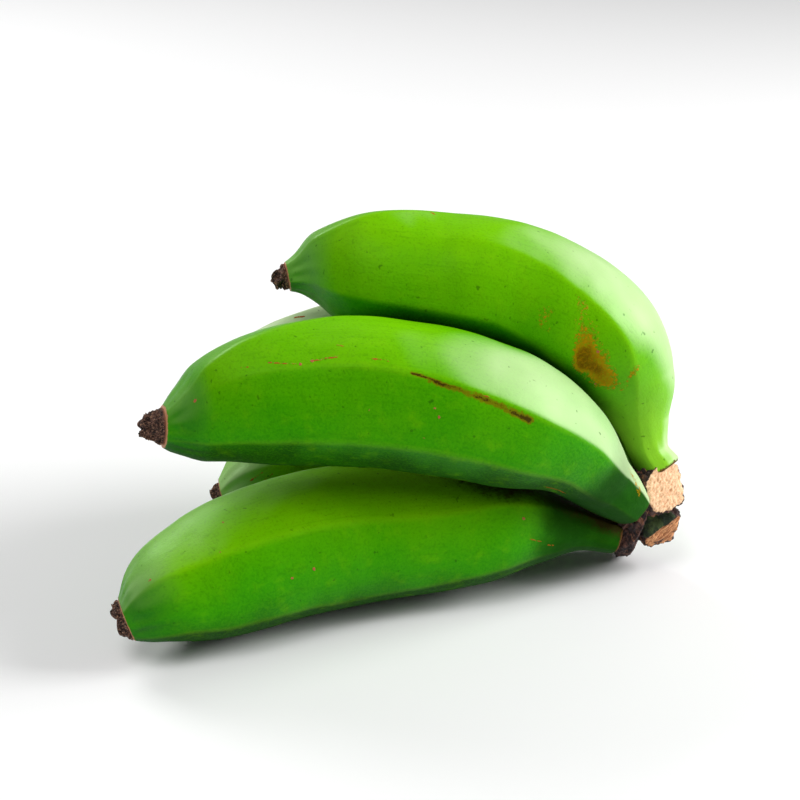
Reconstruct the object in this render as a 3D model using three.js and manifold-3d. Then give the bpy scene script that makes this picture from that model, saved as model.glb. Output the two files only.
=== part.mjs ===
// A hand of five plump green cooking bananas, as cut from the bunch.
// Millimetres, +Z up. The hand lies on its side on a flat surface at Z = 0: finger_bottom and
// finger_rear_lower rest on the surface, and the crown with its cut faces is at +X.
// The front row holds three fingers (top, middle, bottom) and the rear row two, seated in the
// gaps behind them. Every finger keeps a thin gap to its neighbours, to its dried blossom end
// and to the crown.

import * as THREE from 'three';
import { mergeVertices } from 'three/addons/utils/BufferGeometryUtils.js';
import { ConvexGeometry } from 'three/addons/geometries/ConvexGeometry.js';
import Module from 'manifold-3d';

const wasm = await Module();
wasm.setup();

// ---------------------------------------------------------------------------
// Driving dimensions
// ---------------------------------------------------------------------------

const JOINT_GAP = 0.3;          // between touching pieces
const RINGS = 22;               // cross-sections along a finger
const STEPS_PER_SIDE = 5;       // mesh steps across each of the flat sides of a finger
const SIDE_DEPTH = 0.055;       // how far a side falls in from the ridges, at mid finger
const END_SIDE_DEPTH = 0.11;    // the same, at the tip and in the neck
const RIDGE_ROUNDING = 0.35;    // 0 gives knife-sharp ridges
const RIDGE_RISE = 0.6;         // share of that depth by which a ridge stands above the radius
const TIP_BLEND = 0.12;         // share of the length over which a finger turns to its tip's aim
const FRONT = new THREE.Vector3(0, -0.906, 0.423);   // a finger's 90 degree side faces this way

// Sets the hand's lowest point on the surface and its middle over the origin.
const STAND_OFFSET = [-2.15, 0.2, 0.07];

// Each finger: its centre line from blossom end to crown with the radius there
// [x, y, z, radius], the way its blossom end points (aim), and the angles of its five ridges.
// 0 degrees is the upper side, 90 degrees the side that faces FRONT.
const FINGERS = {
  finger_top: {
    stations: [
      [-33.5, 15.5, 89.7, 4.4],
      [-30, 15.5, 90.7, 6.2],
      [-23.5, 15.5, 91.9, 11.8],
      [-10.5, 15, 91.5, 17.6],
      [11.5, 15.5, 88.5, 20.2],
      [30.5, 16.5, 85.5, 21],
      [46.5, 15, 79, 21],
      [61, 12, 69.5, 19.4],
      [69, 8.5, 57.5, 14.5],
      [72.5, 4.5, 46.5, 8.6],
      [75, 1, 38.5, 6.2],
      [78.7, -1.7, 33.6, 6.8],
    ],
    aim: [-0.96, -0.2, -0.14],
    ridges: [35, 110, 180, 250, 320],
  },
  finger_middle: {
    stations: [
      [-66, -34.5, 64.5, 6],
      [-61, -32, 65.4, 10.3],
      [-56, -30, 66.2, 14],
      [-39.5, -26, 68.9, 18.9],
      [-17, -22.5, 69.5, 21.1],
      [5.5, -21, 67, 21.6],
      [20, -20, 63.5, 21],
      [35, -18.5, 57.5, 19.5],
      [49, -15.5, 48.5, 15.1],
      [59.5, -11.5, 35.7, 10.2],
      [65, -10, 29.9, 8.4],
      [69.2, -8.3, 25, 6.6],
    ],
    aim: [-0.94, -0.3, 0.1],
    ridges: [25, 72, 131, 200, 290],
  },
  finger_bottom: {
    stations: [
      [-76.5, -54, 13.8, 6.6],
      [-72.5, -51, 16, 11.2],
      [-66, -47, 18, 15.2],
      [-57, -41, 19.1, 18.4],
      [-46, -34.5, 20.5, 20.3],
      [-29, -25, 21.5, 21.2],
      [-12, -18.5, 21.5, 20.7],
      [12, -14, 21, 19],
      [30, -11.5, 21, 16.7],
      [43.5, -10.5, 19.5, 10.8],
      [54, -9.5, 18, 6.6],
      [65.5, -8.5, 14.2, 4.8],
    ],
    aim: [-0.92, -0.25, -0.3],
    ridges: [10, 80, 150, 220, 290],
  },
  finger_rear_upper: {
    stations: [
      [-54, 21, 48.5, 5.2],
      [-46, 22.5, 52.5, 11.7],
      [-37, 23.5, 55, 15.2],
      [-24.5, 28, 55.8, 17.4],
      [0, 39, 55.5, 18.6],
      [22, 42.5, 53.5, 18.5],
      [39, 36.5, 48.5, 15.7],
      [49.5, 25.5, 42.5, 11.2],
      [57.5, 16.5, 36.3, 8.1],
      [65, 10, 30.2, 6.3],
      [70.5, 6.5, 26, 5.5],
    ],
    aim: [-0.97, -0.1, -0.22],
    ridges: [20, 90, 160, 235, 310],
  },
  finger_rear_lower: {
    stations: [
      [-54.5, 9, 19, 5.6],
      [-48, 13.5, 19.5, 12.4],
      [-39, 18.5, 19.5, 16],
      [-25.5, 24.5, 19, 18],
      [0, 26.5, 19, 19.1],
      [22, 25, 19.5, 18.4],
      [41, 20.5, 17.5, 14.5],
      [53, 15, 15, 10],
      [62, 10.5, 12.5, 6.5],
      [68, 7.5, 11.5, 5.3],
      [72.5, 5.5, 11, 4.9],
    ],
    aim: [-0.96, -0.12, -0.25],
    ridges: [15, 85, 155, 230, 300],
  },
};

// Dried blossom ends: how far each stands out past the skin.
const BLOSSOMS = {
  blossom_top: { finger: 'finger_top', length: 5 },
  blossom_middle: { finger: 'finger_middle', length: 8 },
  blossom_bottom: { finger: 'finger_bottom', length: 3.5 },
  blossom_rear_upper: { finger: 'finger_rear_upper', length: 5 },
  blossom_rear_lower: { finger: 'finger_rear_lower', length: 4 },
};
const BLOSSOM_SIDES = 10;

// Crown: the cushion that the stalks grow from, as the knife left it. Its corners.
const CROWN_CORNERS = [
  [71, -13, 30], [77, -9, 34], [84, -2, 28], [82.5, -5, 21.5], [83, -1, 13], [80, -2, 9.5],
  [75, -4, 9], [69, -4, 6], [70, 5, 0.4], [66, -10, 11.5], [66, -12.5, 21], [80, 8, 20],
  [76, 11, 24], [76, 11, 9], [80, 4, 10],
];
const STUB_REACH = 4.5;           // how far each stalk runs on into the cushion
const STUB_TAPER = 0.85;

const SKIN = { color: 0x57a00a, roughness: 0.42, metalness: 0 };
const CROWN_BARK = { color: 0x5a3a2a, roughness: 0.9, metalness: 0 };
const DRIED_BLOSSOM = { color: 0x4a332b, roughness: 0.95, metalness: 0 };

// ---------------------------------------------------------------------------
// Geometry helpers
// ---------------------------------------------------------------------------

// Six times the signed volume: positive when the faces point out.
function signedVolume(geometry) {
  const p = geometry.attributes.position;
  const index = geometry.index.array;
  const [a, b, c] = [new THREE.Vector3(), new THREE.Vector3(), new THREE.Vector3()];
  let sum = 0;
  for (let i = 0; i < index.length; i += 3) {
    a.fromBufferAttribute(p, index[i]);
    b.fromBufferAttribute(p, index[i + 1]);
    c.fromBufferAttribute(p, index[i + 2]);
    sum += a.dot(b.cross(c));
  }
  return sum;
}

// One closed body with shared vertices and its faces pointing out.
function closedBody(geometry) {
  geometry.deleteAttribute('normal');
  geometry.deleteAttribute('uv');
  const merged = mergeVertices(geometry, 1e-4);
  if (signedVolume(merged) < 0) {
    const index = merged.index.array;
    for (let i = 0; i < index.length; i += 3) {
      [index[i + 1], index[i + 2]] = [index[i + 2], index[i + 1]];
    }
  }
  return merged;
}

function toSolid(geometry) {
  const vertices = Float32Array.from(geometry.attributes.position.array);
  const triangles = Uint32Array.from(geometry.index.array);
  return new wasm.Manifold(new wasm.Mesh({
    numProp: 3,
    vertProperties: vertices,
    triVerts: triangles,
  }));
}

function fromSolid(solid) {
  const { vertProperties, triVerts } = solid.getMesh();
  const geometry = new THREE.BufferGeometry();
  geometry.setAttribute('position', new THREE.BufferAttribute(Float32Array.from(vertProperties), 3));
  geometry.setIndex(new THREE.BufferAttribute(Uint32Array.from(triVerts), 1));
  return geometry;
}

// A finger's centre line, with its radius and its own front and upper directions at every place.
// The radius is a smooth run through the stations by distance along the line.
function centreLine({ stations, aim }) {
  const curve = new THREE.CatmullRomCurve3(stations.map(([x, y, z]) => new THREE.Vector3(x, y, z)));
  const stepsBetween = 40;
  const lengths = curve.getLengths((stations.length - 1) * stepsBetween);
  const places = stations.map((_, i) => lengths[i * stepsBetween]);
  const radii = stations.map(([, , , r]) => r);
  const slopes = radii.map((_, i) => {
    const before = Math.max(i - 1, 0);
    const after = Math.min(i + 1, radii.length - 1);
    return (radii[after] - radii[before]) / (places[after] - places[before]);
  });
  curve.arcLengthDivisions = (stations.length - 1) * stepsBetween;

  function radiusAt(fraction) {
    const place = fraction * places[places.length - 1];
    let i = 0;
    while (i < places.length - 2 && place > places[i + 1]) i += 1;
    const step = places[i + 1] - places[i];
    const t = (place - places[i]) / step;
    return radii[i] * (1 + 2 * t) * (1 - t) ** 2 + slopes[i] * step * t * (1 - t) ** 2
      + radii[i + 1] * t * t * (3 - 2 * t) - slopes[i + 1] * step * t * t * (1 - t);
  }

  function frameAt(fraction) {
    const settled = THREE.MathUtils.smoothstep(fraction / TIP_BLEND, 0, 1);
    const along = new THREE.Vector3(...aim).negate().normalize();
    along.lerp(curve.getTangentAt(fraction), settled).normalize();
    const front = FRONT.clone().addScaledVector(along, -FRONT.dot(along)).normalize();
    const upper = new THREE.Vector3().crossVectors(front, along);
    return { centre: curve.getPointAt(fraction), along, front, upper };
  }

  return { length: places[places.length - 1], radiusAt, frameAt };
}

// The angle of mesh step k around a finger: each side between two ridges has equal steps.
function stepAngle(ridges, k) {
  const side = Math.floor(k / STEPS_PER_SIDE) % ridges.length;
  const share = (k % STEPS_PER_SIDE) / STEPS_PER_SIDE;
  const start = ridges[side];
  const end = side + 1 < ridges.length ? ridges[side + 1] : ridges[0] + 360;
  return { angle: THREE.MathUtils.degToRad(start + share * (end - start)), share };
}

// How deep the sides are at a fraction of the length: deeper towards both ends.
function sideDepth(fraction) {
  const fromEnd = Math.min(fraction, 1 - fraction) / 0.3;
  const ease = THREE.MathUtils.smoothstep(fromEnd, 0, 1);
  return THREE.MathUtils.lerp(END_SIDE_DEPTH, SIDE_DEPTH, ease);
}

// Radius of the cross-section as a share of the mean one: above 1 on a ridge, below it on a side.
function sideShare(share, depth) {
  const wave = Math.sin(Math.PI * share);
  const fall = Math.sqrt(wave * wave + RIDGE_ROUNDING ** 2) - RIDGE_ROUNDING;
  return 1 + depth * (RIDGE_RISE - fall);
}

// A turned cylinder of unit radius, warped so that its axis follows the centre line and its
// cross-section is the five-sided one. It covers the shares of the length between from and to,
// and extra makes it fatter.
function fingerBody(finger, { from = 0, to = 1, rings = RINGS, extra = 0 } = {}) {
  const line = centreLine(finger);
  const sides = finger.ridges.length * STEPS_PER_SIDE;
  const profile = [new THREE.Vector2(0, from)];
  for (let i = 0; i < rings; i += 1) {
    const even = i / (rings - 1);
    const closerAtEnds = even - 0.11 * Math.sin(2 * Math.PI * even);
    profile.push(new THREE.Vector2(1, from + (to - from) * closerAtEnds));
  }
  profile.push(new THREE.Vector2(0, to));
  const body = closedBody(new THREE.LatheGeometry(profile, sides));
  const p = body.attributes.position;
  for (let i = 0; i < p.count; i += 1) {
    const onAxis = Math.hypot(p.getX(i), p.getZ(i)) < 0.5;
    const fraction = THREE.MathUtils.clamp(p.getY(i), 0, 1);
    const turn = (Math.atan2(p.getX(i), p.getZ(i)) / (2 * Math.PI) + 1) % 1;
    const { angle, share } = stepAngle(finger.ridges, Math.round(turn * sides) % sides);
    const { centre, along, front, upper } = line.frameAt(fraction);
    const radius = onAxis ? 0 : line.radiusAt(fraction) * sideShare(share, sideDepth(fraction)) + extra;
    centre.addScaledVector(upper, radius * Math.cos(angle));
    centre.addScaledVector(front, radius * Math.sin(angle));
    centre.addScaledVector(along, (p.getY(i) - fraction) * line.length);
    p.setXYZ(i, centre.x, centre.y, centre.z);
  }
  return closedBody(body);
}

// The dried remains of the flower on a finger's tip: a short ribbed cone with a blunt, skewed top.
function blossomBody({ finger, length }) {
  const line = centreLine(FINGERS[finger]);
  const { centre, along, front, upper } = line.frameAt(0);
  const base = line.radiusAt(0) * 0.97;
  const profile = [[0, 0], [base, 0], [base * 0.93, 0.35], [base * 0.62, 0.75], [base * 0.28, 1], [0, 0.94]]
    .map(([radius, rise]) => new THREE.Vector2(radius, rise * length));
  const body = closedBody(new THREE.LatheGeometry(profile, BLOSSOM_SIDES));
  const p = body.attributes.position;
  for (let i = 0; i < p.count; i += 1) {
    const turn = Math.atan2(p.getX(i), p.getZ(i));
    const rise = p.getY(i);
    const rib = rise > 0 ? 1 - 0.12 * Math.cos(5 * turn) * (rise / length) : 1;
    const radius = Math.hypot(p.getX(i), p.getZ(i)) * rib;
    const place = centre.clone().addScaledVector(along, -(rise + JOINT_GAP));
    place.addScaledVector(upper, radius * Math.cos(turn) - 0.12 * rise);
    place.addScaledVector(front, radius * Math.sin(turn));
    p.setXYZ(i, place.x, place.y, place.z);
  }
  return closedBody(body);
}

// The crown: the whittled cushion joined with a short stub for each stalk, then cleared
// of the stalks themselves.
function crownBody() {
  const corners = CROWN_CORNERS.map((corner) => new THREE.Vector3(...corner));
  let crown = toSolid(closedBody(new ConvexGeometry(corners)));
  for (const finger of Object.values(FINGERS)) {
    const line = centreLine(finger);
    const { centre, along } = line.frameAt(1);
    const radius = line.radiusAt(1) * 0.95;
    const stub = new THREE.CylinderGeometry(radius * STUB_TAPER, radius, STUB_REACH, 16);
    stub.translate(0, STUB_REACH / 2, 0);
    stub.applyQuaternion(new THREE.Quaternion().setFromUnitVectors(new THREE.Vector3(0, 1, 0), along));
    stub.translate(centre.x, centre.y, centre.z);
    crown = crown.add(toSolid(closedBody(stub)));
  }
  for (const finger of Object.values(FINGERS)) {
    const past = JOINT_GAP / centreLine(finger).length;
    const clearance = fingerBody(finger, { from: 0.8, to: 1 + past, rings: 8, extra: JOINT_GAP });
    crown = crown.subtract(toSolid(clearance));
  }
  return closedBody(fromSolid(crown));
}

// ---------------------------------------------------------------------------
// The hand
// ---------------------------------------------------------------------------

const hand = new THREE.Group();
hand.position.set(...STAND_OFFSET);

function addPiece(name, geometry, finish) {
  const piece = new THREE.Mesh(geometry, new THREE.MeshStandardMaterial(finish));
  piece.name = name;
  hand.add(piece);
}

for (const [name, finger] of Object.entries(FINGERS)) {
  addPiece(name, fingerBody(finger), SKIN);
}
for (const [name, blossom] of Object.entries(BLOSSOMS)) {
  addPiece(name, blossomBody(blossom), DRIED_BLOSSOM);
}
addPiece('crown', crownBody(), CROWN_BARK);

export default hand;
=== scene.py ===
# %% [markdown]
# # A hand of green cooking bananas
#
# A hand is what is cut from a banana bunch: a few fingers that share one crown. This one has five
# plump, unripe fingers in two rows, three in front and two seated in the gaps behind them. The
# lesson builds it the way it grew: a skin for every finger, a dried flower on every tip, and the
# crown where the knife went through. The imported model gives the frame, and how far each finger's
# skin lies off its box in the frame is printed.

import bpy
import numpy as np
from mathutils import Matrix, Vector


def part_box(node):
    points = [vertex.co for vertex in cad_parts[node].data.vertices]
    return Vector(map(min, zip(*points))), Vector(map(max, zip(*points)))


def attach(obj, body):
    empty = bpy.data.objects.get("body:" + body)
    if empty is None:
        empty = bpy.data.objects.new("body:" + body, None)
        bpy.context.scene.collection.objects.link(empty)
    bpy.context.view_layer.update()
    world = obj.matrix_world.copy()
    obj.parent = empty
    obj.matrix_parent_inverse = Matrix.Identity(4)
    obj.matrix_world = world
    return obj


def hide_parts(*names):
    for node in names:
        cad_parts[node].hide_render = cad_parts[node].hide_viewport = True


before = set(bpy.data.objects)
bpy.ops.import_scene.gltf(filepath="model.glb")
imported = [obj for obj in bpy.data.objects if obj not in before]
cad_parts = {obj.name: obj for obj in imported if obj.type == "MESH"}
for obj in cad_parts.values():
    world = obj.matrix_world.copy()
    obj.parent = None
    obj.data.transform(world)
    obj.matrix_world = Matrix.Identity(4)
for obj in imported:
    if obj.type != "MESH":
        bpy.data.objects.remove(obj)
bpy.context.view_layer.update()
MM = 0.001
print("frame holds", len(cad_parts), "nodes")

# %% [markdown]
# ## Camera, floor and light
#
# The camera comes first, because it decides which details pay. It looks down on the front row from
# 25 degrees above the surface, with a long lens so that the near tips aren't swollen by
# perspective. The floor and the backdrop are plain and pale.

# %% Camera
ELEVATION = np.radians(25.0)
DISTANCE = 0.54
AIM = np.array([-0.00215, -0.0178, 0.06487])
LENS = 85

towards_camera = np.array([0.0, -np.cos(ELEVATION), np.sin(ELEVATION)])
camera_data = bpy.data.cameras.new("camera")
camera_data.lens = LENS
camera_data.clip_start = 0.01
camera = bpy.data.objects.new("camera", camera_data)
camera.location = AIM + DISTANCE * towards_camera
camera.rotation_euler = Vector(-towards_camera).to_track_quat("-Z", "Y").to_euler()
bpy.context.scene.collection.objects.link(camera)
bpy.context.scene.camera = camera
print("camera stands at", [round(c, 3) for c in camera.location])

# %% [markdown]
# The skin of a green banana is waxy: its colour comes from the front, but its shape is told by the
# broad pale reflections along every upper side, which the lamps give and a painted highlight
# strengthens. So the strongest soft panel stands beyond the crown end, where the shoulders of the
# fingers mirror it. A weaker one behind lifts the tips, and one above the front fills the faces.
# What lies between the fingers stays dark, because the world light is low and the skin there
# carries painted shade.

# %% Floor, light and world
PANEL_SIZE = 0.5            # metres
PANELS = {                  # place in metres, power in watts
    "panel_beyond_crown": ((0.85, 0.05, 0.5), 11.5),
    "panel_above_front": ((-0.25, -0.5, 0.95), 4.2),
    "panel_behind_tips": ((-0.55, 0.65, 0.65), 5.5),
}
LIT_POINT = Vector((0.0, 0.0, 0.05))
WORLD_STRENGTH = 0.15
FLOOR_HALF = 4.0            # metres
FLOOR_GREY = 0.9


def soft_panel(name, place, power):
    """A square area light that faces the middle of the hand."""
    data = bpy.data.lights.new(name, "AREA")
    data.energy = power
    data.size = PANEL_SIZE
    lamp = bpy.data.objects.new(name, data)
    lamp.location = place
    lamp.rotation_euler = (LIT_POINT - Vector(place)).to_track_quat("-Z", "Y").to_euler()
    bpy.context.scene.collection.objects.link(lamp)


for panel, (place, power) in PANELS.items():
    soft_panel(panel, place, power)

world = bpy.data.worlds.new("studio")
world.use_nodes = True
world.node_tree.nodes["Background"].inputs["Color"].default_value = (1.0, 1.0, 1.0, 1.0)
world.node_tree.nodes["Background"].inputs["Strength"].default_value = WORLD_STRENGTH
bpy.context.scene.world = world
bpy.context.scene.view_settings.view_transform = "Standard"

floor_mesh = bpy.data.meshes.new("floor")
floor_mesh.from_pydata(
    [(-FLOOR_HALF, -FLOOR_HALF, 0), (FLOOR_HALF, -FLOOR_HALF, 0),
     (FLOOR_HALF, FLOOR_HALF, 0), (-FLOOR_HALF, FLOOR_HALF, 0)], [], [(0, 1, 2, 3)])
floor = bpy.data.objects.new("floor", floor_mesh)
bpy.context.scene.collection.objects.link(floor)
floor_finish = bpy.data.materials.new("pale_floor")
floor_finish.use_nodes = True
floor_shader = floor_finish.node_tree.nodes["Principled BSDF"]
floor_shader.inputs["Base Color"].default_value = (FLOOR_GREY, FLOOR_GREY, FLOOR_GREY, 1.0)
floor_shader.inputs["Roughness"].default_value = 0.9
floor_mesh.materials.append(floor_finish)
print("studio is set: floor, world and", len(bpy.data.lights), "soft panels")

# %% [markdown]
# ## Helpers for surfaces
#
# Every visible piece is a surface that numpy works out as whole arrays: a grid of points, where the
# rows run along the piece and the columns run round it. One helper turns such a grid into a closed
# mesh, with a point at each end so that no pole is open.

# %% Smooth step and soft noise
def smooth_step(value, low=0.0, high=1.0):
    """0 below low, 1 above high, and the smooth cubic 3t^2 - 2t^3 between them."""
    t = np.clip((np.asarray(value, float) - low) / (high - low), 0.0, 1.0)
    return t * t * (3.0 - 2.0 * t)


def soft_noise(points, wavelength, seed, waves=28):
    """Sum of plane waves with random directions and phases, all near one wavelength, scaled to
    about -1..1. points is any array whose last axis is x, y, z, in the unit of wavelength."""
    rng = np.random.default_rng(seed)
    direction = rng.normal(size=(3, waves))
    direction /= np.linalg.norm(direction, axis=0)
    pitch = 2.0 * np.pi / (wavelength * rng.uniform(0.7, 1.5, waves))
    phase = rng.uniform(0.0, 2.0 * np.pi, waves)
    return np.cos(np.asarray(points) @ (direction * pitch) + phase).sum(-1) / np.sqrt(waves)


# %% From a grid to a closed mesh
def closed_grid(name, grid, start, end, flip=False):
    """A grid of points (rows, columns, 3) in mm becomes one closed mesh in metres. Columns wrap
    round, and the first and last rows close on the points start and end."""
    rows, columns = grid.shape[:2]
    points = np.vstack([grid.reshape(-1, 3), start, end]) * MM
    i, j = np.meshgrid(np.arange(rows - 1), np.arange(columns), indexing="ij")
    right = (j + 1) % columns
    quads = np.stack([i * columns + j, i * columns + right,
                      (i + 1) * columns + right, (i + 1) * columns + j], -1).reshape(-1, 4)
    ring = np.arange(columns)
    after = (ring + 1) % columns
    first = np.stack([np.full(columns, rows * columns), after, ring], -1)
    last_row = (rows - 1) * columns
    last = np.stack([np.full(columns, rows * columns + 1), last_row + ring, last_row + after], -1)
    if flip:
        quads, first, last = quads[:, ::-1], first[:, ::-1], last[:, ::-1]
    mesh = bpy.data.meshes.new(name)
    mesh.from_pydata(points, [], quads.tolist() + first.tolist() + last.tolist())
    mesh.polygons.foreach_set("use_smooth", np.ones(len(mesh.polygons), bool))
    mesh.update()
    piece = bpy.data.objects.new(name, mesh)
    bpy.context.scene.collection.objects.link(piece)
    return piece


def write_attribute(piece, name, values, kind="FLOAT"):
    """Stores one number (FLOAT) or one vector (FLOAT_VECTOR) on every point of a piece."""
    layer = piece.data.attributes.new(name, kind, "POINT")
    field = "value" if kind == "FLOAT" else "vector"
    layer.data.foreach_set(field, np.asarray(values, np.float32).ravel())


def padded_ends(values):
    """Values on a grid, with the two closing points given the mean of the row beside them."""
    ends = np.stack([values[0].mean(0), values[-1].mean(0)])
    return np.concatenate([values.reshape((-1,) + values.shape[2:]), ends])


# %% [markdown]
# ## The line of a finger
#
# A finger is a bent spindle. The frame gives only its solid, so its driving dimensions are repeated
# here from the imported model: stations on the centre line from the blossom end to the crown, with the
# radius at each. A centripetal Catmull-Rom curve passes through the stations without loops or
# overshoot, and a Hermite curve carries the radius by distance along the line, so neither shows
# where the stations are.

# %% Stations of the five fingers, in mm
SET_DOWN = np.array([-2.15, 0.2, 0.07])     # brings the hand's lowest point down to the surface
FRONT = np.array([0.0, -0.906, 0.423])      # the 90 degree side of a finger faces this way
TIP_BLEND = 0.12            # share of the length over which a finger turns to its tip's aim
CURVE_STEPS = 60            # steps of the curve between two stations

STATIONS = {
    "finger_top": [
        (-33.5, 15.5, 89.7, 4.4), (-30, 15.5, 90.7, 6.2), (-23.5, 15.5, 91.9, 11.8),
        (-10.5, 15, 91.5, 17.6), (11.5, 15.5, 88.5, 20.2), (30.5, 16.5, 85.5, 21),
        (46.5, 15, 79, 21), (61, 12, 69.5, 19.4), (69, 8.5, 57.5, 14.5),
        (72.5, 4.5, 46.5, 8.6), (75, 1, 38.5, 6.2), (78.7, -1.7, 33.6, 6.8)],
    "finger_middle": [
        (-66, -34.5, 64.5, 6), (-61, -32, 65.4, 10.3), (-56, -30, 66.2, 14),
        (-39.5, -26, 68.9, 18.9), (-17, -22.5, 69.5, 21.1), (5.5, -21, 67, 21.6),
        (20, -20, 63.5, 21), (35, -18.5, 57.5, 19.5), (49, -15.5, 48.5, 15.1),
        (59.5, -11.5, 35.7, 10.2), (65, -10, 29.9, 8.4), (69.2, -8.3, 25, 6.6)],
    "finger_bottom": [
        (-76.5, -54, 13.8, 6.6), (-72.5, -51, 16, 11.2), (-66, -47, 18, 15.2),
        (-57, -41, 19.1, 18.4), (-46, -34.5, 20.5, 20.3), (-29, -25, 21.5, 21.2),
        (-12, -18.5, 21.5, 20.7), (12, -14, 21, 19), (30, -11.5, 21, 16.7),
        (43.5, -10.5, 19.5, 10.8), (54, -9.5, 18, 6.6), (65.5, -8.5, 14.2, 4.8)],
    "finger_rear_upper": [
        (-54, 21, 48.5, 5.2), (-46, 22.5, 52.5, 11.7), (-37, 23.5, 55, 15.2),
        (-24.5, 28, 55.8, 17.4), (0, 39, 55.5, 18.6), (22, 42.5, 53.5, 18.5),
        (39, 36.5, 48.5, 15.7), (49.5, 25.5, 42.5, 11.2), (57.5, 16.5, 36.3, 8.1),
        (65, 10, 30.2, 6.3), (70.5, 6.5, 26, 5.5)],
    "finger_rear_lower": [
        (-54.5, 9, 19, 5.6), (-48, 13.5, 19.5, 12.4), (-39, 18.5, 19.5, 16),
        (-25.5, 24.5, 19, 18), (0, 26.5, 19, 19.1), (22, 25, 19.5, 18.4),
        (41, 20.5, 17.5, 14.5), (53, 15, 15, 10), (62, 10.5, 12.5, 6.5),
        (68, 7.5, 11.5, 5.3), (72.5, 5.5, 11, 4.9)],
}
TIP_AIMS = {
    "finger_top": (-0.96, -0.2, -0.14), "finger_middle": (-0.94, -0.3, 0.1),
    "finger_bottom": (-0.92, -0.25, -0.3), "finger_rear_upper": (-0.97, -0.1, -0.22),
    "finger_rear_lower": (-0.96, -0.12, -0.25),
}
print("stations:", {name: len(stations) for name, stations in STATIONS.items()})


# %% Centre line
def catmull_rom(points, steps):
    """Centripetal Catmull-Rom curve: between two points, a cubic whose end slopes come from the
    neighbours, weighted by the square roots of the distances. The ends use mirrored neighbours."""
    p = np.vstack([2 * points[0] - points[1], points, 2 * points[-1] - points[-2]])
    gap = np.sqrt(np.linalg.norm(np.diff(p, axis=0), axis=1))[:, None]
    a, b, c = gap[:-2], gap[1:-1], gap[2:]
    p0, p1, p2, p3 = p[:-3], p[1:-2], p[2:-1], p[3:]
    out_slope = ((p1 - p0) / a - (p2 - p0) / (a + b) + (p2 - p1) / b) * b
    in_slope = ((p2 - p1) / b - (p3 - p1) / (b + c) + (p3 - p2) / c) * b
    t = np.linspace(0.0, 1.0, steps, endpoint=False)[:, None, None]
    curve = (p1 + out_slope * t + (3 * (p2 - p1) - 2 * out_slope - in_slope) * t ** 2
             + (2 * (p1 - p2) + out_slope + in_slope) * t ** 3)
    return np.vstack([curve.transpose(1, 0, 2).reshape(-1, 3), points[-1:]])


def centre_line(name, rows):
    """Places at equal distances along a finger: distance, centre, radius, and the three directions
    along, front and upper. The radius is the Hermite cubic between two stations, with the slope at
    each taken across its neighbours. Near the tip the sections turn to the tip's own aim."""
    stations = np.array(STATIONS[name], float)
    curve = catmull_rom(stations[:, :3] + SET_DOWN, CURVE_STEPS)
    run = np.r_[0, np.cumsum(np.linalg.norm(np.diff(curve, axis=0), axis=1))]
    at, radii = run[::CURVE_STEPS], stations[:, 3]
    slope = np.empty_like(radii)
    slope[1:-1] = (radii[2:] - radii[:-2]) / (at[2:] - at[:-2])
    slope[0] = (radii[1] - radii[0]) / (at[1] - at[0])
    slope[-1] = (radii[-1] - radii[-2]) / (at[-1] - at[-2])
    distance = np.linspace(0.0, run[-1], rows)
    i = np.clip(np.searchsorted(at, distance, side="right") - 1, 0, len(at) - 2)
    step = at[i + 1] - at[i]
    t = (distance - at[i]) / step
    radius = (radii[i] * (1 + 2 * t) * (1 - t) ** 2 + slope[i] * step * t * (1 - t) ** 2
              + radii[i + 1] * t * t * (3 - 2 * t) - slope[i + 1] * step * t * t * (1 - t))
    centre = np.column_stack([np.interp(distance, run, curve[:, k]) for k in range(3)])
    tangent = np.gradient(centre, distance, axis=0)
    tangent /= np.linalg.norm(tangent, axis=1)[:, None]
    aim = -np.array(TIP_AIMS[name])
    settled = smooth_step(distance / distance[-1] / TIP_BLEND)[:, None]
    along = aim / np.linalg.norm(aim) * (1 - settled) + tangent * settled
    along /= np.linalg.norm(along, axis=1)[:, None]
    front = FRONT - along * (along @ FRONT)[:, None]
    front /= np.linalg.norm(front, axis=1)[:, None]
    return distance, centre, radius, along, front, np.cross(front, along)


for name in STATIONS:
    print(name, "is", round(float(centre_line(name, 200)[0][-1])), "mm along its centre line")

# %% [markdown]
# ## Ridges
#
# A banana is five-sided while it is green, because its skin grew from the flower's five outer
# leaves, and it fills out towards round as it matures. A cylinder with a bevelled pentagon would
# give the same hard edge from end to end. The real ridges are crisp near the tip and the neck, drift
# round the finger and fade in its belly. So each ridge is a small roof on the round section,
# and both its angle and its height are read at even steps from tip to neck: three for a plain
# ridge, six for one that drifts a lot.

# %% Ridge angles and heights
RIDGE_WIDTH = 24.0          # degrees in which a roof falls to about a third
RIDGE_ROUNDING = 2.0        # degrees of rounding at the top of a roof
READ_FROM, READ_TO = 0.05, 0.93     # shares of the length at the first and the last reading

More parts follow.
